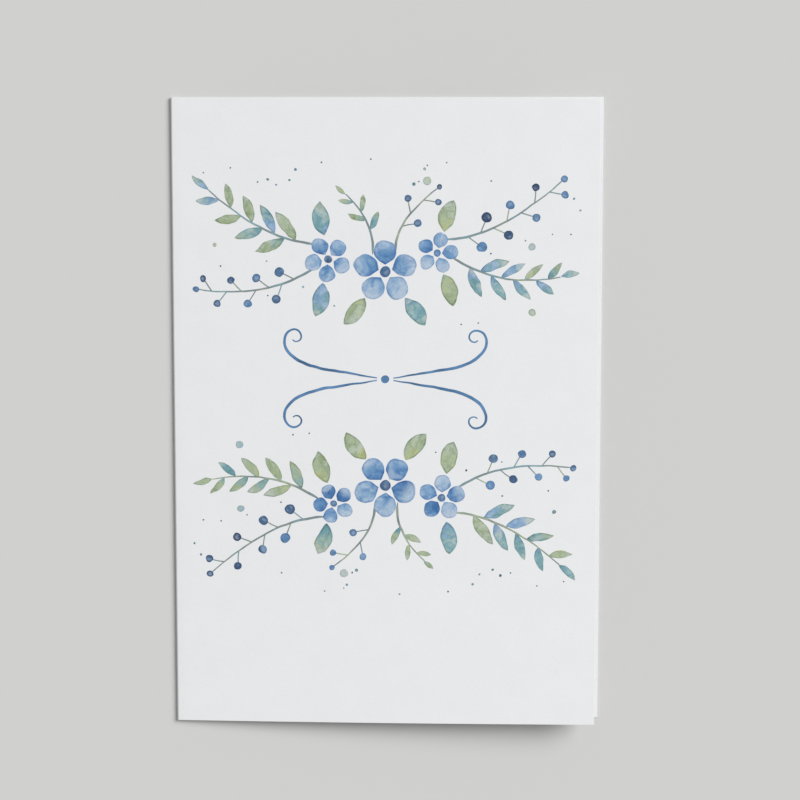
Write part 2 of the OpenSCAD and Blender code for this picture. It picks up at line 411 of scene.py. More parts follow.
# Stems of a garland: blossom, direction, kind of reach, bend, end, marks, largest mark
LEAFY_STEMS = (
    (1, 143, "stem", (-0.46, 0.07), (-0.93, 0.5), 9, 1.0),
    (2, 338, "stem", (0.43, -0.25), (0.96, -0.14), 9, 0.9),
    (0, 112, "sprig", (-0.07, 0.46), (-0.5, 0.86), 5, 0.6),
)
BERRY_STEMS = (
    (2, 38, "stem", (0.45, 0.05), (1.02, 0.57), 8, 1.0),
    (1, 213, "stem", (-0.43, -0.25), (-1.05, -0.16), 8, 0.9),
    (0, 70, "sprig", (0.12, 0.48), (0.8, 1.0), 4, 0.8),
)
LEAF_ANGLE = 42
BERRY_ANGLE = 50
UPPER_SHARE = 0.6
STROKE_STEPS = 14
PETALS = 5


class Stem:
    """A stem of a garland: a curve that starts behind a blossom and carries marks."""

    def __init__(self, art, row):
        index, degrees, reach, bend, end, self.count, self.largest = row
        blossom = blossoms(art)[index]
        self.base = blossom.place + ray(degrees) * (blossom.across / 2 + 2 * art.gap)
        self.bend = Vector(bend) * getattr(art, reach)
        self.end = Vector(end) * getattr(art, reach)
        self.first = -art.lead / (2 * self.bend.length)
        self.widths = (art.stem_width, art.tip_width)

    def along(self, share):
        """The curve's parameter at a share of the way from its start to its tip."""
        return self.first + (1 - self.first) * share

    def width(self, t):
        wide, narrow = self.widths
        return wide + (narrow - wide) * (t - self.first) / (1 - self.first)

    def at(self, t):
        return self.base + 2 * t * (1 - t) * self.bend + t * t * self.end

    def heading(self, t):
        step = (1 - 2 * t) * self.bend + t * self.end
        return math.degrees(math.atan2(step.y, step.x))

    def marks(self, spread, tip):
        """The marks on alternate sides of the stem, of which the last one ends it."""
        for i in range(1, self.count + 1):
            t = i / self.count
            side = 0 if i == self.count else (1 if i % 2 == 0 else -1)
            yield SimpleNamespace(
                base=self.at(t),
                degrees=self.heading(t) + spread * side,
                size=self.largest * (1 - (1 - tip) * t),
                side=side,
                stem_width=self.width(t),
            )


def stems(art, rows):
    return [Stem(art, row) for row in rows]


def leaves(art):
    """The leaves on the stems of a garland."""
    for stem in stems(art, LEAFY_STEMS):
        yield from stem.marks(LEAF_ANGLE, art.tip_leaf / art.leaf)


def berries(art):
    """The berries of a garland, each with how far it hangs from its stem's middle."""
    for stem in stems(art, BERRY_STEMS):
        for berry in stem.marks(BERRY_ANGLE, art.tip_berry / art.berry):
            berry.reach = art.stalk + art.berry * berry.size / 2 if berry.side else 0.0
            yield berry


ARM_ANGLE = 9
CURL_ANGLE = 420
CURL_POWER = 5
SCROLL_STEPS = 60


def flourish_arm(art):
    """Points and widths of an arm of the flourish, which curls in ever more tightly."""
    unit = [Vector((0, 0))]
    for i in range(SCROLL_STEPS):
        step = ray(ARM_ANGLE + CURL_ANGLE * (i / SCROLL_STEPS) ** CURL_POWER)
        unit.append(unit[-1] + step / SCROLL_STEPS)
    clear = (art.tip_width + art.gap) / 2 / math.sin(math.radians(ARM_ANGLE))
    first = ray(ARM_ANGLE) * max(art.bead / 2 + art.gap, clear)
    scale = (art.flourish / 2 - first.x) / max(p.x for p in unit)
    points = [first + scale * p for p in unit]
    turns = [math.pi * i / SCROLL_STEPS for i in range(SCROLL_STEPS + 1)]
    swell = art.pen - art.tip_width
    return points, [art.tip_width + swell * math.sin(turn) for turn in turns]


SPOT_SHARES = (0, 0.25, 0.5, 0.75, 1)


def spots_along(base, degrees, reach, radius, out=0.0):
    """Spots along a straight mark, from its foot to its tip."""
    return [(base + ray(degrees) * (out + k * reach), radius) for k in SPOT_SHARES]


def spots(art):
    """Middles and radii of spots that cover a garland and the flourish."""
    found = []
    broad, slim = UPPER_SHARE * art.broad_width, UPPER_SHARE * art.leaf_width
    for blossom in blossoms(art):
        out = blossom.across / 2 + art.gap
        found.append((blossom.place, blossom.across / 2))
        for degrees in blossom.leaves:
            found += spots_along(blossom.place, degrees, art.broad_leaf, broad, out)
    for mark in leaves(art):
        found += spots_along(mark.base, mark.degrees, art.leaf * mark.size, slim)
    for mark in berries(art):
        found += spots_along(mark.base, mark.degrees, mark.reach, art.berry / 2)
    for stem in stems(art, LEAFY_STEMS + BERRY_STEMS):
        for i in range(STROKE_STEPS + 1):
            found.append((stem.at(i / STROKE_STEPS), art.stem_width))
    for point in flourish_arm(art)[0]:
        for side in (-1, 1):
            found.append((Vector((side * point.x, point.y - art.garland)), art.pen))
    return found


SPLASH_TRIES = 70
SPLASH_RARITY = 4
SCATTER_ANGLE = 127.1
DRAWS_APART = 100


def scatter(i):
    """A repeatable value from 0 to 1 for each whole number."""
    value = 360 * math.sin(math.radians(i * SCATTER_ANGLE))
    return value - math.floor(value)


def splashes(art):
    """Place and diameter of each splash dot of a garland, clear of all other marks."""
    covered = spots(art)
    for i in range(1, SPLASH_TRIES + 1):
        x = (scatter(i) - 0.5) * art.field_width
        y = (scatter(i + DRAWS_APART) - 0.5) * art.field_height + art.field_rise
        place = Vector((x, y))
        large = scatter(i + 2 * DRAWS_APART) ** SPLASH_RARITY
        across = art.small_splash + (art.splash - art.small_splash) * large
        room = min((place - middle).length - radius for middle, radius in covered)
        if room > across / 2 + art.gap:
            yield place, across
        covered.append((place, across / 2))


def put(place, degrees=0.0, size=1.0, out=0.0, flip=1):
    """The matrix that sizes a mark, moves it out and turns it to its place."""
    return (
        Matrix.Translation((place.x, place.y, 0))
        @ Matrix.Rotation(math.radians(degrees), 4, "Z")
        @ Matrix.Translation((out, 0, 0))
        @ Matrix.Diagonal((size, flip * size, size, 1))
    )


# Height at which the print is laid out before it drops onto the front panel
ABOVE = 0.03


def on_panel(sheet, art):
    """The matrix from the design to the card, well above the front panel."""
    scale = (sheet.width - sheet.front_short) / art.panel
    middle = (-sheet.front_short / 2, sheet.height / 2 - art.drop, ABOVE)
    return Matrix.Translation(middle) @ Matrix.Scale(scale, 4)


def in_garlands(scene, marks):
    """Lays out marks in the upper garland, and turned half round in the lower one."""
    panel = on_panel(scene.card_sheet, scene.card_print)
    lift = Matrix.Translation((0, scene.card_print.garland, 0))
    garlands = [panel @ (Matrix.Rotation(turn, 4, "Z") @ lift) for turn in (0, math.pi)]
    return [garland @ mark for garland in garlands for mark in marks]


# Master shapes of the marks, which start at their base and reach along X


def note(piece, name, value):
    """Notes a value on the selected vertices of a piece in edit mode."""
    mesh = bmesh.from_edit_mesh(piece.data)
    layer = mesh.verts.layers.float.get(name) or mesh.verts.layers.float.new(name)
    for vertex in mesh.verts:
        if vertex.select:
            vertex[layer] = value
    bmesh.update_edit_mesh(piece.data)


RING_SHARES = (0.9, 0.7, 0.4)
DOT_RINGS = (0.6,)
DOT_STEPS = 24
LEAF_STEPS = 18
PETAL_STEPS = 36


def ring_in(piece, centre, rings=RING_SHARES):
    """Insets a flat face in rings, notes how far out each lies, and closes it."""
    bpy.ops.mesh.select_mode(type="FACE")
    bpy.ops.mesh.select_all(action="SELECT")
    note(piece, "spread", 1.0)
    last = 1.0
    for ring in rings:
        bpy.ops.mesh.inset(thickness=0.0, use_boundary=True)
        scale = ring / last
        bpy.ops.transform.resize(value=(scale, scale, 1), center_override=centre)
        note(piece, "spread", ring)
        last = ring
    bpy.ops.mesh.poke()

    def away(vertex):
        return (vertex.co - Vector(centre)).length

    near = min(map(away, bmesh.from_edit_mesh(piece.data).verts)) + last * MM / 100
    pick(piece, "VERT", lambda vertex: away(vertex) < near)
    note(piece, "spread", 0.0)
    face_up(piece)
    done()
    note_reach(piece)
    return piece


def note_reach(piece):
    """Notes how far along the mark each vertex lies, from 0 to 1 at the tip."""
    xs = [vertex.co.x for vertex in piece.data.vertices]
    low, high = min(xs), max(xs)
    reach = piece.data.attributes.new("reach", "FLOAT", "POINT")
    reach.data.foreach_set("value", [(x - low) / (high - low) for x in xs])


def start_vertex(name, place):
    """A new piece that is a single vertex, in edit mode."""
    deselect()
    bpy.ops.mesh.primitive_plane_add(size=MM)
    piece = start(name)
    bpy.ops.mesh.merge(type="CENTER")
    bpy.ops.transform.translate(value=(place.x, place.y, 0))
    return piece


def draw_out(move):
    """Draws an outline on from its last vertex."""
    bpy.ops.mesh.extrude_region_move(TRANSFORM_OT_translate={"value": (move.x, move.y, 0)})


def close_outline():
    """Joins the end of an outline to its start and fills it with one face."""
    bpy.ops.mesh.select_all(action="SELECT")
    bpy.ops.mesh.remove_doubles(threshold=MM / 1000)
    bpy.ops.mesh.edge_face_add()


def disc(name):
    """A disc of unit diameter in millimetres."""
    deselect()
    bpy.ops.mesh.primitive_circle_add(vertices=DOT_STEPS, radius=MM / 2, fill_type="NGON")
    return ring_in(start(name), (0, 0, 0), DOT_RINGS)


def leaf(name, long, wide):
    """A leaf: one vertex is spun over to the tip and back underneath."""
    piece = start_vertex(name, Vector((0, 0)))
    upper = UPPER_SHARE * wide
    for sagitta, above in ((upper, 1), (wide - upper, -1)):
        radius = (long * long / 4 + sagitta * sagitta) / (2 * sagitta)
        turn = 2 * math.asin(long / 2 / radius)
        centre = (long / 2, above * (sagitta - radius), 0)
        bpy.ops.mesh.spin(steps=LEAF_STEPS, angle=turn, center=centre, axis=(0, 0, 1))
    close_outline()
    return ring_in(piece, (long / 2, upper - wide / 2, 0))


def petal(name, art, across):
    """A petal of a blossom: a round that is drawn in to a point at the eye."""
    half = math.sin(math.pi / PETALS)
    round_r = (across / 2 * half - art.gap / 2) / (1 + half)
    round_x = across / 2 - round_r
    point_x = art.eye * across / art.main_blossom / 2 + art.gap
    meet = math.pi / 2 + math.asin(round_r / (round_x - point_x))
    point = Vector((point_x, 0))
    touch = Vector((round_x + round_r * math.cos(meet), -round_r * math.sin(meet)))
    piece = start_vertex(name, point)
    draw_out(touch - point)
    centre = (round_x, 0, 0)
    bpy.ops.mesh.spin(steps=PETAL_STEPS, angle=-2 * meet, center=centre, axis=(0, 0, 1))
    close_outline()
    return ring_in(piece, centre)


BRUSH_POINT = 0.25
BRUSH_SET = 0.16
LINE_STEPS = 42
LINE_PARTS = 3


def smooth_line(points, widths):
    """Adds points and widths to a line, on a curve through those that it has."""
    last = len(points) - 1
    fine_points, fine_widths = [points[0]], [widths[0]]
    for i in range(last):
        here, there = points[i], points[i + 1]
        leave = (there - points[max(i - 1, 0)]) / 6
        arrive = (points[min(i + 2, last)] - here) / 6
        curve = (here, here + leave, there - arrive, there)
        fine_points += interpolate_bezier(*curve, LINE_PARTS + 1)[1:]
        step = (widths[i + 1] - widths[i]) / LINE_PARTS
        fine_widths += [widths[i] + k * step for k in range(1, LINE_PARTS + 1)]
    return fine_points, fine_widths


def ribbon(name, points, widths):
    """A brush line: its two sides are drawn out vertex by vertex and bridged."""
    last = len(points) - 1
    sides = []
    for i, width in enumerate(widths):
        step = points[min(i + 1, last)] - points[max(i - 1, 0)]
        sides.append(Vector((-step.y, step.x)).normalized() * width / 2)
    piece = None
    for hand in (1, -1):
        rim = [point + hand * side for point, side in zip(points, sides)]
        if piece is None:
            piece = start_vertex(name, rim[0])
        else:
            bpy.ops.mesh.select_all(action="DESELECT")
            bpy.ops.mesh.primitive_plane_add(size=MM)
            bpy.ops.mesh.merge(type="CENTER")
            bpy.ops.transform.translate(value=(rim[0].x, rim[0].y, 0))
        for here, there in zip(rim, rim[1:]):
            draw_out(there - here)
    bpy.ops.mesh.select_mode(type="EDGE")
    bpy.ops.mesh.select_all(action="SELECT")
    bpy.ops.mesh.bridge_edge_loops()
    face_up(piece)
    done()
    return piece


def copies(master, places, tints):
    """Copies of a master at their places, each with a tint of its own."""
    made = []
    for place, tint in zip(places, tints):
        copy = master.copy()
        copy.data = master.data.copy()
        copy.data.transform(place)
        if place.determinant() < 0:
            copy.data.flip_normals()
        shade = copy.data.attributes.new("tint", "FLOAT", "POINT")
        shade.data.foreach_set("value", [tint] * len(copy.data.vertices))
        bpy.context.collection.objects.link(copy)
        made.append(copy)
    return made


def as_one(name, marks, masters):
    """Joins marks into one piece, and throws the masters away with their meshes."""
    deselect()
    for mark in marks:
        mark.select_set(True)
    bpy.context.view_layer.objects.active = marks[0]
    bpy.ops.object.join()
    piece = bpy.context.object
    piece.name = name
    piece.data.name = name
    for master in masters:
        bpy.data.meshes.remove(master.data)
    return piece


# Size of the outlines' unsteadiness for a full brush, a fine one and a pen
BRUSH_GRAIN = 3.2 * MM
DAB_GRAIN = 1.8 * MM
PEN_GRAIN = 4 * MM
# Coats of paint, thicker for what lies on top where marks of two pieces meet
LEAF_COAT = 1.0
LINE_COAT = 1.15
BERRY_COAT = 1.3
BLOSSOM_COAT = 1.45
FILM_SMOOTHING = math.radians(30)


def lay_film(scene, piece, grain, wobble, coat, finish):
    """Makes the outlines unsteady, lays the marks on the panel and finishes them."""
    hand = bpy.data.textures.new(piece.name + "_hand", "CLOUDS")
    hand.cloud_type = "COLOR"
    hand.noise_scale = grain
    hand.noise_depth = 1
    modify(piece, "DISPLACE", texture=hand, direction="RGB_TO_XYZ", strength=wobble)
    modify(
        piece,
        "SHRINKWRAP",
        target=bpy.data.objects["folded_sheet"],
        wrap_method="PROJECT",
        use_project_z=True,
        use_positive_direction=False,
        use_negative_direction=True,
    )
    modify(piece, "SOLIDIFY", thickness=scene.card_print.film * coat, offset=1)
    bpy.data.textures.remove(hand)
    if max(vertex.co.z for vertex in piece.data.vertices) > ABOVE / 2:
        raise RuntimeError(piece.name + " hangs over the edge of the front panel")
    only(piece)
    bpy.ops.object.shade_smooth_by_angle(angle=FILM_SMOOTHING)
    piece.data.materials.append(finish(scene.card_paint))


def drawn_tints(art, piece_number, most=1.0):
    """An endless row of tints from 0 up to the most, for the marks of one piece."""
    draw = random.Random(art.seed + piece_number)
    while True:
        yield most * draw.random()


class CARD_OT_paint_blossoms(bpy.types.Operator):
    """Paints the petals of the blossoms"""

    bl_idname = "card.paint_blossoms"
    bl_label = "Paint the blossoms"

    def execute(self, context):
        scene, art = context.scene, context.scene.card_print
        shade = drawn_tints(art, 1)
        marks, masters = [], []
        for blossom in blossoms(art):
            master = petal("petal", art, blossom.across)
            turns = [blossom.turn + 360 * i / PETALS for i in range(PETALS)]
            petals = [put(blossom.place, turn) for turn in turns]
            marks += copies(master, in_garlands(scene, petals), shade)
            masters.append(master)
        piece = as_one("painted_blossoms", marks, masters)
        lay_film(scene, piece, BRUSH_GRAIN, art.wobble, BLOSSOM_COAT, blossom_wash)
        hand_in(piece, "blossom_print")
        return {"FINISHED"}


class CARD_OT_paint_leaves(bpy.types.Operator):
    """Paints the leaves on the stems and the broad leaves beside the blossoms"""

    bl_idname = "card.paint_leaves"
    bl_label = "Paint the leaves"

    def execute(self, context):
        scene, art = context.scene, context.scene.card_print
        shade = drawn_tints(art, 2)
        broad = leaf("broad_leaf", art.broad_leaf, art.broad_width)
        slim = leaf("slim_leaf", art.leaf, art.leaf_width)
        beside = [
            put(blossom.place, degrees, out=blossom.across / 2 + art.gap)
            for blossom in blossoms(art)
            for degrees in blossom.leaves
        ]
        on_stems = [
            put(mark.base, mark.degrees, mark.size, flip=-1 if mark.side < 0 else 1)
            for mark in leaves(art)
        ]
        marks = []
        for master, places in ((broad, beside), (slim, on_stems)):
            marks += copies(master, in_garlands(scene, places), shade)
        piece = as_one("painted_leaves", marks, [broad, slim])
        lay_film(scene, piece, BRUSH_GRAIN, art.wobble, LEAF_COAT, leaf_wash)
        hand_in(piece, "leaf_print")
        return {"FINISHED"}


# Berries take the tints up to this one, and splash dots the rest
DARK_TINTS = 0.5
SPLASH_PALENESS = 0.75
SPLASH_CHANCE = 0.4


def splash_tint(art, across, chance):
    """A tint past those of the berries, paler for the larger dots."""
    large = (across - art.small_splash) / (art.splash - art.small_splash)
    pale = min(SPLASH_PALENESS * large + SPLASH_CHANCE * chance, 1)
    return DARK_TINTS + (1 - DARK_TINTS) * pale


class CARD_OT_dab_berries(bpy.types.Operator):
    """Dabs the berries, the blossoms' eyes and the splash dots"""

    bl_idname = "card.dab_berries"
    bl_label = "Dab the berries"

    def execute(self, context):
        scene, art = context.scene, context.scene.card_print
        shade = drawn_tints(art, 3)
        dot = disc("dot")
        dabs = [
            put(blossom.place, size=art.eye * blossom.across / art.main_blossom / MM)
            for blossom in blossoms(art)
        ]
        for mark in berries(art):
            across = art.berry * mark.size / MM
            dabs.append(put(mark.base, mark.degrees, across, mark.reach))
        dots = list(splashes(art))
        drops = [put(place, size=across / MM) for place, across in dots]
        pale = [splash_tint(art, across, next(shade)) for _, across in 2 * dots]
        dark = (DARK_TINTS * tint for tint in shade)
        marks = []
        for places, shades in ((dabs, dark), (drops, pale)):
            marks += copies(dot, in_garlands(scene, places), shades)
        piece = as_one("painted_berries", marks, [dot])
        lay_film(scene, piece, DAB_GRAIN, art.wobble / 2, BERRY_COAT, berry_wash)
        hand_in(piece, "berry_print")
        return {"FINISHED"}


# Brush lines take the tints up to this one, and pen lines 1
BRUSH_TINTS = 0.5


class CARD_OT_draw_lines(bpy.types.Operator):
    """Draws the stems, the berries' stalks and the pen flourish"""

    bl_idname = "card.draw_lines"
    bl_label = "Draw the lines"

    def execute(self, context):
        scene, art = context.scene, context.scene.card_print
        shade = drawn_tints(art, 4, BRUSH_TINTS)
        marks, masters = [], []
        shares = [i / LINE_STEPS for i in range(LINE_STEPS + 1)]
        set_down = [min(BRUSH_POINT + share / BRUSH_SET, 1) for share in shares]
        for stem in stems(art, LEAFY_STEMS + BERRY_STEMS):
            steps = [stem.along(share) for share in shares]
            widths = [stem.width(t) * part for t, part in zip(steps, set_down)]
            master = ribbon("stem", [stem.at(t) for t in steps], widths)
            marks += copies(master, in_garlands(scene, [Matrix()]), shade)
            masters.append(master)
        points = [Vector((art.stalk * k, 0)) for k in SPOT_SHARES]
        stalk = ribbon("stalk", points, [art.tip_width] * len(points))
        hanging = [mark for mark in berries(art) if mark.side]
        stalks = [put(mark.base, mark.degrees, out=mark.stem_width / 2) for mark in hanging]
        marks += copies(stalk, in_garlands(scene, stalks), shade)
        panel = on_panel(scene.card_sheet, art)
        arm = ribbon("arm", *smooth_line(*flourish_arm(art)))
        ways = ((1, 1), (1, -1), (-1, 1), (-1, -1))
        places = [panel @ Matrix.Diagonal((*way, 1, 1)) for way in ways]
        marks += copies(arm, places, [1.0] * len(places))
        bead = disc("bead")
        marks += copies(bead, [panel @ Matrix.Scale(art.bead / MM, 4)], [1.0])
        piece = as_one("drawn_lines", marks, masters + [stalk, arm, bead])
        lay_film(scene, piece, PEN_GRAIN, art.wobble / 2, LINE_COAT, line_ink)
        hand_in(piece, "line_print")
        return {"FINISHED"}


# Finishes

# Sizes of the patterns
FINE_TOOTH = 0.22 * MM
COARSE_TOOTH = 0.9 * MM
TOOTH_DEPTH = 0.03 * MM
FIBRES = 0.5 * MM
CLOUDS = 9 * MM
SPINE_STREAKS = 0.4 * MM
CUT_LAYERS = 0.12 * MM
EBBS = 2.8 * MM
RIM_BREAKS = 2.4 * MM
BLOOMS = 4.5 * MM
PIGMENT = 0.3 * MM
PETAL_BLOTS = 3.4 * MM
LEAF_BLOTS = 3.6 * MM
LEAF_RUNS = 2.6 * MM
BERRY_BLOTS = 1.2 * MM
BERRY_GLINTS = 1.5 * MM
INK_FLOW = 5 * MM
INK_GRAIN = 0.25 * MM
# Surfaces
PAPER_ROUGHNESS = 0.75
WORN_ROUGHNESS = 0.88
CUT_ROUGHNESS = 0.85
WASH_ROUGHNESS = 0.78
INK_ROUGHNESS = 0.75
MATTE_SPECULAR = 0.2
TOOTH_STRENGTH = 0.35
# Where the spine's wear starts and where it is full, and its white
WEAR_STARTS = 1.1 * MM
WEAR_FULL = 0.3 * MM
WORN_WHITE = (0.88, 0.88, 0.885)
# What the colour is multiplied by where paint pools at a rim
BLUE_RIM = (0.5, 0.62, 0.8)
GREEN_RIM = (0.5, 0.58, 0.54)
NAVY_RIM = (0.55, 0.6, 0.7)
# Colours along a wash
PETAL_BLUES = ((0.18, "lilac"), (0.42, "sky"), (0.66, "heart"), (0.92, "cobalt"))
LEAF_GREENS = ((0.2, "lime"), (0.45, "sage"), (0.85, "olive"))
LEAF_TEALS = ((0.2, "mist"), (0.5, "teal"), (0.85, "deep_teal"))
LEAF_BLUES = ((0.2, "lilac"), (0.5, "sky"), (0.8, "heart"))
BERRY_COLOURS = ((0.0, "navy"), (0.46, "heart"))
SPLASH_COLOURS = ((0.54, "navy"), (0.66, "deep_teal"), (0.78, "sage"), (0.98, "mist"))
BRUSH_COLOURS = ((0.25, "sage"), (0.5, "slate"), (0.8, "teal"))
PEN_COLOURS = ((0.35, "pen_blue"), (0.68, "heart"))
# Spreads the tints so that their fractions give a second value
DRAW_FACTOR = 17.3


def add_node(tree, kind, out, inputs=None, **settings):
    """Adds a node with its settings and inputs, and gives one of its outputs."""
    made = tree.nodes.new(kind)
    for key, value in settings.items():
        setattr(made, key, value)
    for key, value in (inputs or {}).items():
        if isinstance(value, bpy.types.NodeSocket):
            tree.links.new(value, made.inputs[key])
        else:
            made.inputs[key].default_value = value
    return made.outputs[out]


class Finish:
    """A material in the making, with short ways to add nodes."""

    def __init__(self, name, roughness):
        self.material = bpy.data.materials.new(name)
        self.material.use_nodes = True
        self.tree = self.material.node_tree
        self.shader = self.tree.nodes["Principled BSDF"]
        self.shader.inputs["Roughness"].default_value = roughness
        self.shader.inputs["Specular IOR Level"].default_value = MATTE_SPECULAR
        self.where = self.node("ShaderNodeTexCoord", "Object")

    def node(self, kind, out, inputs=None, **settings):
        return add_node(self.tree, kind, out, inputs, **settings)

    def link(self, value, socket):
        self.tree.links.new(value, self.shader.inputs[socket])

    def noise(self, grain, detail=2.0, rough=0.5, twist=0.0, where=None):
        """A cloudy pattern from 0 to 1 with clouds of a given size."""
        names = ("Vector", "Scale", "Detail", "Roughness", "Distortion")
        values = (where or self.where, 1 / grain, detail, rough, twist)
        return self.node("ShaderNodeTexNoise", "Fac", dict(zip(names, values)))

    def stretched(self, x, y, z):
        """Object coordinates times a factor for each axis."""
        inputs = {"Vector": self.where, "Scale": (x, y, z)}
        return self.node("ShaderNodeMapping", "Vector", inputs)

    def noted(self, name):
        """A value noted on the mesh."""
        return self.node("ShaderNodeAttribute", "Fac", attribute_name=name)

    def calc(self, operation, *values):
        """A value worked out from others."""
        inputs = dict(enumerate(values))
        return self.node("ShaderNodeMath", "Value", inputs, operation=operation)

    def product(self, first, second):
        return self.calc("MULTIPLY", first, second)

    def sum(self, *terms):
        """The sum of pairs of value and weight, and of plain numbers."""
        total = 0.0
        for term in terms:
            if isinstance(term, tuple):
                total = self.calc("MULTIPLY_ADD", *term, total)
            else:
                total = self.calc("ADD", total, term)
        return total

    def second_draw(self):
        """Another value from 0 to 1 for each mark, drawn from its tint."""
        return self.calc("FRACT", self.product(self.noted("tint"), DRAW_FACTOR))

    def rise(self, value, low, high, first=0.0, last=1.0):
        """A smooth step from first at low to last at high."""
        names = ("Value", "From Min", "From Max", "To Min", "To Max")
        inputs = dict(zip(names, (value, low, high, first, last)))
        smooth = {"interpolation_type": "SMOOTHSTEP"}
        return self.node("ShaderNodeMapRange", "Result", inputs, **smooth)

    def ramp(self, value, hues, stops):
        """A run of named colours along a value."""
        tone = self.node("ShaderNodeValToRGB", "Color", {"Fac": value})
        elements = tone.node.color_ramp.elements
        while len(elements) < len(stops):
            elements.new(0.5)
        for element, (at, hue) in zip(elements, stops):
            element.position = at
            element.color = (*getattr(hues, hue), 1)
        return tone

    def mix(self, factor, first, second, way="MIX"):
        """One colour over another."""
        first, second = (
            tone if isinstance(tone, bpy.types.NodeSocket) else (*tone, 1)
            for tone in (first, second)
        )
        inputs = {0: factor, 6: first, 7: second}
        return self.node("ShaderNodeMix", 2, inputs, data_type="RGBA", blend_type=way)

    def tooth(self):
        """The fine tooth of the paper's surface, as a bump."""
        fine, coarse = self.noise(FINE_TOOTH, 3), self.noise(COARSE_TOOTH)
        inputs = {
            "Height": self.sum((fine, 0.6), (coarse, 0.4)),
            "Distance": TOOTH_DEPTH,
            "Strength": TOOTH_STRENGTH,
        }
        self.link(self.node("ShaderNodeBump", "Normal", inputs), "Normal")


def card_stock(sheet):
    """Smooth white stock with a cloudy formation, a fine tooth and a worn spine."""
    stock = Finish("card_stock", PAPER_ROUGHNESS)
    fibres = stock.rise(stock.noise(FIBRES, 4, 0.6), 0.3, 0.7, 0.975)
    clouds = stock.rise(stock.noise(CLOUDS, 3, 0.55), 0.3, 0.7, 0.985)
    tone = stock.mix(1.0, sheet.white, stock.product(fibres, clouds), "MULTIPLY")
    place = stock.node("ShaderNodeSeparateXYZ", "X", {"Vector": stock.where})
    spine = -sheet.width / 2
    at_spine = stock.rise(place, spine + WEAR_STARTS, spine + WEAR_FULL)
    streaks = stock.noise(SPINE_STREAKS, 3, where=stock.stretched(1, 0.12, 1))
    worn = stock.product(at_spine, stock.rise(streaks, 0.45, 0.65))
    tone = stock.mix(stock.product(worn, 0.5), tone, WORN_WHITE)
    stock.link(tone, "Base Color")
    stock.link(stock.rise(worn, 0.0, 1.0, PAPER_ROUGHNESS, WORN_ROUGHNESS), "Roughness")
    stock.tooth()
    return stock.material


def cut_edge(sheet):
    """The pressed fibres that show where the sheet is cut."""
    edge = Finish("cut_edge", CUT_ROUGHNESS)
    layers = edge.noise(CUT_LAYERS, 3, where=edge.stretched(0.15, 0.15, 1))
    shade = edge.rise(layers, 0.35, 0.65, 0.86)
    edge.link(edge.mix(1.0, sheet.cut_white, shade, "MULTIPLY"), "Base Color")
    edge.tooth()
    return edge.material


def thin_out(paint, tone, pale):
    """Lets a wash run thin towards the tip of some marks."""
    thin = paint.sum(
        (paint.noted("reach"), 1.0),
        (paint.second_draw(), -0.6),
        (paint.noise(EBBS, twist=0.5), 0.8),
    )
    return paint.mix(paint.product(paint.rise(thin, 0.7, 1.3), 0.75), tone, pale)


def grain_over(paint, tone, grain, darkest):
    """Adds grains of pigment to a finish, and its tooth."""
    grains = paint.rise(paint.noise(grain, 2, 0.6), 0.3, 0.7, darkest, 1.06)
    paint.link(paint.mix(1.0, tone, grains, "MULTIPLY"), "Base Color")
    paint.tooth()
    return paint.material


def finish_wash(paint, tone, rim_tint, pale):
    """Adds what all washes have: pools at the rim, blooms of water and pigment."""
    uneven = paint.rise(paint.noise(RIM_BREAKS), 0.35, 0.6, 0.2)
    rim = paint.product(paint.rise(paint.noted("spread"), 0.78, 0.96), uneven)
    dark = paint.mix(1.0, tone, rim_tint, "MULTIPLY")
    tone = paint.mix(paint.product(rim, 0.9), tone, dark)
    water = paint.noise(BLOOMS, twist=0.6)
    shore = paint.product(paint.rise(water, 0.5, 0.55), paint.rise(water, 0.6, 0.56))
    tone = paint.mix(paint.product(shore, 0.35), tone, dark)
    tone = paint.mix(paint.product(paint.rise(water, 0.56, 0.7), 0.55), tone, pale)
    return grain_over(paint, tone, PIGMENT, 0.86)


def blossom_wash(hues):
    """Blue washes, deeper towards the eye and different on each petal."""
    paint = Finish("blossom_wash", WASH_ROUGHNESS)
    depth = paint.sum(
        (paint.noise(PETAL_BLOTS, 3, 0.55, 0.8), 1.2),
        (paint.noted("reach"), -0.34),
        (paint.noted("tint"), 0.5),
        -0.17,
    )
    tone = thin_out(paint, paint.ramp(depth, hues, PETAL_BLUES), hues.lilac)
    return finish_wash(paint, tone, BLUE_RIM, hues.lilac)


def leaf_wash(hues):
    """Leaves in sage, olive, teal and blue that run into each other."""
    paint = Finish("leaf_wash", WASH_ROUGHNESS)
    blots = paint.noise(LEAF_BLOTS, 3, 0.55, 0.8)
    reach = paint.noted("reach")
    green = paint.sum((blots, 1.2), (reach, 0.25), -0.2)
    teal = paint.sum((blots, -1.2), (reach, -0.25), 1.3)
    blue = paint.sum((blots, 1.2), (reach, -0.3))
    run = paint.sum(
        (paint.noted("tint"), 1.6),
        (reach, -0.5),
        (paint.noise(LEAF_RUNS, twist=0.5), 0.9),
        -0.45,
    )
    tone = paint.mix(
        paint.rise(run, 0.3, 0.75),
        paint.ramp(green, hues, LEAF_GREENS),
        paint.ramp(teal, hues, LEAF_TEALS),
    )
    tone = paint.mix(paint.rise(run, 0.95, 1.25), tone, paint.ramp(blue, hues, LEAF_BLUES))
    return finish_wash(paint, thin_out(paint, tone, hues.mist), GREEN_RIM, hues.mist)


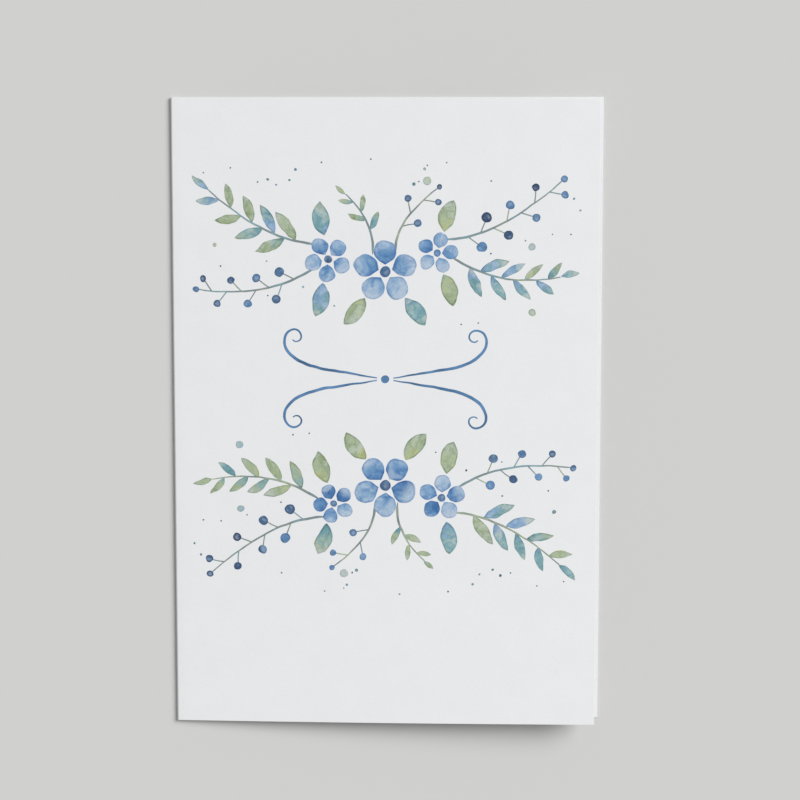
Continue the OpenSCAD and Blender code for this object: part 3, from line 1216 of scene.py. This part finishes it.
def berry_wash(hues):
    """Navy and blue berries and eyes, and splash dots from navy to pale green."""
    paint = Finish("berry_wash", INK_ROUGHNESS)
    blots = paint.noise(BERRY_BLOTS)
    depth = paint.sum((paint.noted("tint"), 1.0), (blots, 0.16), -0.08)
    middle = paint.product(
        paint.rise(paint.noted("spread"), 0.9, 0.25),
        paint.rise(paint.noise(BERRY_GLINTS), 0.38, 0.62),
    )
    tone = paint.ramp(depth, hues, BERRY_COLOURS + SPLASH_COLOURS)
    tone = paint.mix(paint.product(middle, 0.4), tone, hues.lilac)
    return finish_wash(paint, tone, NAVY_RIM, hues.sky)


def line_ink(hues):
    """Slate brush lines for the stems and blue ink for the flourish."""
    ink = Finish("line_ink", INK_ROUGHNESS)
    flow = ink.noise(INK_FLOW, 3)
    tint = ink.noted("tint")
    brush = ink.ramp(ink.sum((flow, 0.9), (tint, 0.4), -0.05), hues, BRUSH_COLOURS)
    pen = ink.ramp(flow, hues, PEN_COLOURS)
    tone = ink.mix(ink.rise(tint, 0.6, 0.9), brush, pen)
    return grain_over(ink, tone, INK_GRAIN, 0.88)


# The stage


def floor_finish(stage):
    """A plain, pale and matte floor."""
    floor = Finish("floor", 1.0)
    floor.shader.inputs["Base Color"].default_value = (*stage.floor, 1)
    floor.shader.inputs["Specular IOR Level"].default_value = 0.0
    return floor.material


def soft_light(stage):
    """A wide, distant light."""
    bpy.ops.object.light_add(type="SUN", location=stage.key_from)
    light = bpy.context.object
    light.name = "key_light"
    light.data.energy = stage.key
    light.data.angle = stage.key_spread
    light.rotation_euler = (-Vector(stage.key_from)).to_track_quat("-Z", "Y").to_euler()


def light_on_floor(stage):
    """How bright the floor is, as a share of its own colour."""
    return stage.key * Vector(stage.key_from).normalized().z / math.pi + stage.sky


def soft_room(stage):
    """Light from all round, and a backdrop in the floor's own colour."""
    world = bpy.data.worlds.new("soft_room")
    world.use_nodes = True
    tree = world.node_tree
    room = tree.nodes["Background"]
    room.inputs["Color"].default_value = (1, 1, 1, 1)
    room.inputs["Strength"].default_value = stage.sky
    inputs = {"Color": (*stage.floor, 1), "Strength": light_on_floor(stage)}
    backdrop = add_node(tree, "ShaderNodeBackground", "Background", inputs)
    rays = tree.nodes.new("ShaderNodeLightPath").outputs
    seen = rays["Is Camera Ray"]
    for kind in ("Is Glossy Ray", "Is Transmission Ray"):
        inputs = {0: seen, 1: rays[kind]}
        seen = add_node(tree, "ShaderNodeMath", "Value", inputs, use_clamp=True)
    inputs = {"Fac": seen, 1: room.outputs["Background"], 2: backdrop}
    either = add_node(tree, "ShaderNodeMixShader", "Shader", inputs)
    tree.links.new(either, tree.nodes["World Output"].inputs["Surface"])
    return world


SENSOR_WIDTH = 36.0
FLOOR_GAP = 0.05 * MM


class CARD_OT_set_stage(bpy.types.Operator):
    """Sets up the floor, the light and the camera"""

    bl_idname = "card.set_stage"
    bl_label = "Set the stage"

    def execute(self, context):
        stage = context.scene.card_stage
        deselect()
        bpy.ops.mesh.primitive_plane_add(size=stage.floor_side, location=(0, 0, -FLOOR_GAP))
        floor = bpy.context.object
        floor.name = "floor"
        floor.data.materials.append(floor_finish(stage))
        floor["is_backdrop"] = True
        soft_light(stage)
        context.scene.world = soft_room(stage)
        bpy.ops.object.camera_add(location=stage.place)
        camera = bpy.context.object
        camera.name = "camera"
        camera.data.lens = stage.lens
        camera.data.sensor_width = SENSOR_WIDTH
        turn = (
            Matrix.Rotation(-stage.tilt, 3, "X")
            @ Matrix.Rotation(stage.yaw, 3, "Y")
            @ Matrix.Rotation(-stage.roll, 3, "Z")
        )
        camera.rotation_euler = turn.to_euler()
        context.scene.camera = camera
        context.scene.view_settings.view_transform = "Standard"
        return {"FINISHED"}


# The panel


class CARD_PT_build(bpy.types.Panel):
    """Builds the card step by step"""

    bl_idname = "CARD_PT_build"
    bl_label = "Folded greeting card"
    bl_space_type = "VIEW_3D"
    bl_region_type = "UI"
    bl_category = "Card"

    def draw(self, context):
        column = self.layout.column()
        for step in STEPS:
            column.operator(step.bl_idname)
        for name in SETTINGS:
            group = getattr(context.scene, name)
            box = self.layout.box()
            for key in group.__annotations__:
                box.prop(group, key)


SETTINGS = {
    "card_sheet": CardSheetSettings,
    "card_print": CardPrintSettings,
    "card_paint": CardPaintSettings,
    "card_stage": CardStageSettings,
}
STEPS = (
    CARD_OT_fold_sheet,
    CARD_OT_paint_blossoms,
    CARD_OT_paint_leaves,
    CARD_OT_dab_berries,
    CARD_OT_draw_lines,
    CARD_OT_set_stage,
)
CLASSES = (*SETTINGS.values(), *STEPS, CARD_PT_build)


def register():
    for kind in CLASSES:
        bpy.utils.register_class(kind)
    for name, settings in SETTINGS.items():
        setattr(bpy.types.Scene, name, PointerProperty(type=settings))


def unregister():
    for name in SETTINGS:
        delattr(bpy.types.Scene, name)
    for kind in reversed(CLASSES):
        bpy.utils.unregister_class(kind)


def main():
    register()
    bpy.ops.card.fold_sheet()
    bpy.ops.card.paint_blossoms()
    bpy.ops.card.paint_leaves()
    bpy.ops.card.dab_berries()
    bpy.ops.card.draw_lines()
    bpy.ops.card.set_stage()
    boxes = {"cad": CAD_BOX, "visual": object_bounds()}
    {key: [list(corner) for corner in box] for key, box in boxes.items()}


if __name__ == "__main__":
    main()
